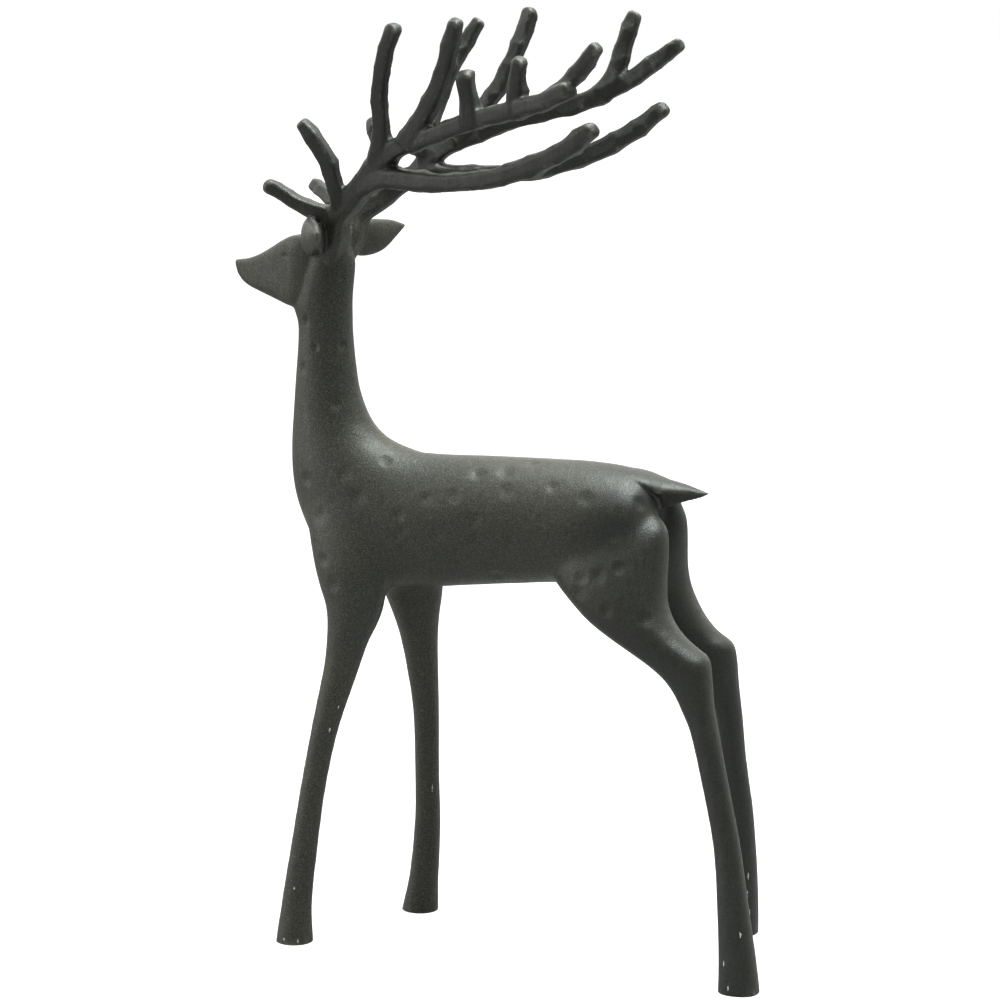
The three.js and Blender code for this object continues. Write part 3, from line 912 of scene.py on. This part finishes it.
def noise(label, vector, scale, detail=2.0, roughness=0.5):
    new = node("ShaderNodeTexNoise", label)
    feed(new.inputs["Vector"], vector)
    feed(new.inputs["Scale"], scale)
    feed(new.inputs["Detail"], detail)
    feed(new.inputs["Roughness"], roughness)
    return new.outputs["Fac"]


def remap(label, value, low, high, to_low=0.0, to_high=1.0):
    new = node("ShaderNodeMapRange", label, interpolation_type="SMOOTHSTEP")
    for socket, source in zip(new.inputs[:5], (value, low, high, to_low, to_high)):
        feed(socket, source)
    return new.outputs["Result"]


def math_of(label, operation, a, b):
    new = node("ShaderNodeMath", label, operation=operation)
    feed(new.inputs[0], a)
    feed(new.inputs[1], b)
    return new.outputs[0]


def mix(label, share, a, b):
    new = node("ShaderNodeMix", label, data_type="RGBA")
    feed(new.inputs["Factor"], share)
    feed(new.inputs[6], a)
    feed(new.inputs[7], b)
    return new.outputs[2]


def attribute(name):
    return node("ShaderNodeAttribute", name, attribute_name=name).outputs["Fac"]

# %% [markdown]
# ## Colour of the finish
# From the bottom up: two near charcoals in soft clouds, dark and light grains, a darker
# tone on the antlers, a darker tone on the hindquarters that is partly painted shade,
# edges painted paler for rubbed paint and a painted highlight, painted shade in the
# hollows, and last the few pale chips. Each layer is mixed over the one before by a mask,
# as a painter would glaze it, because then any one of them can be changed alone.

# %% Colour
CLOUD_SCALE, GRAIN_SCALE, WEAR_SCALE, CHIP_SCALE = 28, 1400, 240, 1100
# The antlers are painted darker with height, and the hindquarters darker towards the back, partly
# as painted shade.
ANTLER_DARKENING_FROM, ANTLER_DARKENING = (0.385, 0.42), 0.82
REAR_TONE_AND_SHADE_FROM, REAR_TONE_AND_SHADE = (0.03, 0.075), 0.74
# The first is how much the edges are painted paler, partly rubbed paint and partly a painted
# highlight; the second is how much painted shade the hollows get.
RUB_AND_HIGHLIGHT, HOLLOW_SHADE = 0.75, 0.8
CHARCOAL = (0.0355, 0.0348, 0.0222, 1)
COOL_CHARCOAL = (0.0260, 0.0275, 0.0222, 1)
# Paler paint and painted highlight on the edges.
RUBBED_AND_HIGHLIT = (0.15, 0.147, 0.12, 1)
SPECK = (0.086, 0.085, 0.070, 1)
# The darker colour of the antlers and the hindquarters; on the hindquarters it is partly painted
# shade.
DARKENED = (0.013, 0.0145, 0.0125, 1)
# The dark grains' colour, also used for the painted shade in the hollows.
DARK_GRAIN_AND_SHADE = (0.018, 0.019, 0.018, 1)
CHIPPED = (0.62, 0.61, 0.58, 1)
place = node("ShaderNodeTexCoord", "place").outputs["Object"]
clouds = remap("clouds", noise("cloud noise", place, CLOUD_SCALE, 3), 0.35, 0.65)
grain = noise("grain", place, GRAIN_SCALE, 2, 0.65)
colour = mix("tone", clouds, CHARCOAL, COOL_CHARCOAL)
colour = mix("dark grain", remap("dark grains", grain, 0.50, 0.34, 0, 0.8), colour, DARK_GRAIN_AND_SHADE)
colour = mix("light grain", remap("light grains", grain, 0.48, 0.66, 0, 0.85), colour, SPECK)
split = node("ShaderNodeSeparateXYZ", "place in the casting")
feed(split.inputs[0], place)
# The antlers are painted a darker tone, fading in with height.
high = remap("antlers are darker", split.outputs["Z"], *ANTLER_DARKENING_FROM, 0, ANTLER_DARKENING)
# The hindquarters are painted darker towards the back: partly their own tone, partly painted
# shade.
back = remap("hindquarters are darker", split.outputs["X"], *REAR_TONE_AND_SHADE_FROM, 0, REAR_TONE_AND_SHADE)
colour = mix("darker parts", math_of("both", "MAXIMUM", high, back), colour, DARKENED)
# Edges are painted paler: partly rubbed paint, partly a painted highlight.
patchy = remap("patchy wear and highlight", noise("wear noise", place, WEAR_SCALE, 3), 0.38, 0.62, 0.25, 1)
worn_and_lit = math_of("wear and highlight", "MULTIPLY", attribute("worn_and_lit_edge"), patchy)
colour = mix("rubbed and highlit edges", math_of("less", "MULTIPLY", worn_and_lit, RUB_AND_HIGHLIGHT), colour, RUBBED_AND_HIGHLIT)
# Hollows are painted darker: painted shade.
shade_in_hollows = math_of("some", "MULTIPLY", attribute("hollow"), HOLLOW_SHADE)
colour = mix("hollows", shade_in_hollows, colour, DARK_GRAIN_AND_SHADE)
ragged = math_of("ragged", "ADD", attribute("chips"), noise("chip noise", place, CHIP_SCALE, 1))
chip = remap("chip shape", ragged, 1.08, 1.2)
colour = mix("chips", chip, colour, CHIPPED)
print("nodes in the colour:", len(nodes))

# %% [markdown]
# ## Shine and relief
# The shine is satin, and faint brush strokes run aslant through it: a noise stretched
# along one direction by a Mapping node. The same grain that colours the paint also stands
# up a little, and breaks the shine into specks. It is finer than the mesh could carry, so
# it goes into a Bump node, while all that shows in the outline is real shape.

# %% Shine and relief
STROKE_SLANT = math.radians(40)
STROKE_STRETCH = (1, 0.35, 0.09)
STROKE_SCALE, WAVE_SCALE = 900, 160
STROKE_HEIGHT, WAVE_HEIGHT = 0.35, 1.6
SATIN = (0.40, 0.52)
RELIEF_DEPTH = 0.22 * MM
strokes = node("ShaderNodeMapping", "aslant strokes")
feed(strokes.inputs["Vector"], place)
strokes.inputs["Rotation"].default_value = (0, STROKE_SLANT, 0)
strokes.inputs["Scale"].default_value = STROKE_STRETCH
brush = noise("brush", strokes.outputs["Vector"], STROKE_SCALE, 2)
roughness = remap("shine", brush, 0.3, 0.7, *SATIN)

uneven = noise("uneven skin", place, WAVE_SCALE, 2)
low_strokes = math_of("strokes", "MULTIPLY", brush, STROKE_HEIGHT)
waves = math_of("waves", "MULTIPLY", uneven, WAVE_HEIGHT)
height = math_of("with strokes", "ADD", grain, low_strokes)
height = math_of("with waves", "ADD", height, waves)
relief = node("ShaderNodeBump", "relief")
relief.inputs["Strength"].default_value = 0.8
relief.inputs["Distance"].default_value = RELIEF_DEPTH
feed(relief.inputs["Height"], height)

shader = node("ShaderNodeBsdfPrincipled", "painted iron")
shader.inputs["IOR"].default_value = 1.5
feed(shader.inputs["Base Color"], colour)
feed(shader.inputs["Roughness"], roughness)
feed(shader.inputs["Normal"], relief.outputs["Normal"])
output = node("ShaderNodeOutputMaterial", "output")
links.new(shader.outputs["BSDF"], output.inputs["Surface"])
stag.data.materials.clear()
stag.data.materials.append(finish)
print("nodes in the whole finish:", len(nodes))

# %% [markdown]
# ## Floor
# A plain pale floor, wide enough to reach past every view. It is a light grey that glows
# white where it is seen directly, so it stays clean, and still throws little light up.

# %% Floor
bpy.ops.object.select_all(action="DESELECT")
bpy.ops.mesh.primitive_plane_add(size=40, location=(0, 0, stag_low.z))
floor = bpy.context.object
floor.name = "floor"
pale = bpy.data.materials.new("pale floor")
pale.use_nodes = True
pale_shader = pale.node_tree.nodes["Principled BSDF"]
pale_shader.inputs["Base Color"].default_value = (0.28, 0.28, 0.28, 1)
pale_shader.inputs["Roughness"].default_value = 0.9
pale_shader.inputs["Specular IOR Level"].default_value = 0.0
pale_shader.inputs["Emission Color"].default_value = (1, 1, 1, 1)
glow = pale.node_tree.nodes.new("ShaderNodeLightPath")
pale.node_tree.links.new(glow.outputs["Is Camera Ray"], pale_shader.inputs["Emission Strength"])
floor.data.materials.append(pale)
print("floor at height", round(stag_low.z, 4), "m")

# %% [markdown]
# ## Light tent
# A white tent with one dark side, the open room from which the stag is looked at. Dark
# metal shows what is around it more than its own colour, so the tent does most of the
# work: round limbs get a light rim left and right and stay dark in the middle. It could
# be built from sheets of cloth. It is simpler as the world's own light, worked out from
# the direction. Seen directly, it is plain white.

# %% Tent
BEHIND = 1.6
BESIDE = 0.7
ROOM = 0.12
TENT_TINT = (1, 0.995, 0.94, 1)
TOWARD_ROOM = (0.55, -0.835, 0)
world = bpy.data.worlds.new("tent")
world.use_nodes = True
bpy.context.scene.world = world
nodes, links = world.node_tree.nodes, world.node_tree.links
nodes.clear()
direction = node("ShaderNodeTexCoord", "direction").outputs["Generated"]
facing = node("ShaderNodeVectorMath", "toward the room", operation="DOT_PRODUCT")
feed(facing.inputs[0], direction)
facing.inputs[1].default_value = TOWARD_ROOM
cloth = remap("tent behind", facing.outputs["Value"], -0.9, 0.1, BEHIND, BESIDE)
room = remap("room", facing.outputs["Value"], 0.2, 0.8, 0.0, BESIDE - ROOM)
strength = math_of("tent to room", "SUBTRACT", cloth, room)
seen = node("ShaderNodeLightPath", "seen directly").outputs["Is Camera Ray"]
lit = node("ShaderNodeMix", "tent", data_type="FLOAT")
feed(lit.inputs[0], seen)
feed(lit.inputs[2], strength)
feed(lit.inputs[3], 1.0)
background = node("ShaderNodeBackground", "background")
feed(background.inputs["Color"], mix("tent tint", seen, TENT_TINT, (1, 1, 1, 1)))
feed(background.inputs["Strength"], lit.outputs[0])
world_output = node("ShaderNodeOutputWorld", "output")
links.new(background.outputs["Background"], world_output.inputs["Surface"])
print("tent strength behind, beside and in the room:", BEHIND, BESIDE, ROOM)

# %% [markdown]
# ## Soft boxes
# One large box above makes the broad highlight on the back and rump, and a weak one at
# the left lifts the chest and the muzzle. Both are wide, so that no shadow has an edge.

# %% Soft boxes
COOL_LIGHT = (0.93, 1.0, 0.97)
MID_HEIGHT = Vector((0, 0, 0.25))


def soft_box(name, at, size, power, tint=(1, 1, 1)):
    aim = (MID_HEIGHT - Vector(at)).to_track_quat("-Z", "Y")
    bpy.ops.object.select_all(action="DESELECT")
    bpy.ops.object.light_add(type="AREA", location=at, rotation=aim.to_euler())
    lamp = bpy.context.object
    lamp.name = name
    lamp.data.shape = "RECTANGLE"
    lamp.data.size, lamp.data.size_y = size
    lamp.data.energy = power
    lamp.data.color = tint
    print(f"{name}: {power} W over {size[0]} x {size[1]} m")


soft_box("box above", (0.38, 0.05, 1.8), (1.2, 1.0), 60, COOL_LIGHT)
soft_box("box left", (-1.6, -0.7, 0.8), (0.9, 1.2), 9)
bpy.context.scene.view_settings.view_transform = "Standard"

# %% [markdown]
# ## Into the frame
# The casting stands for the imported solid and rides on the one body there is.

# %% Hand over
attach(stag, "root")
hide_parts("stag")
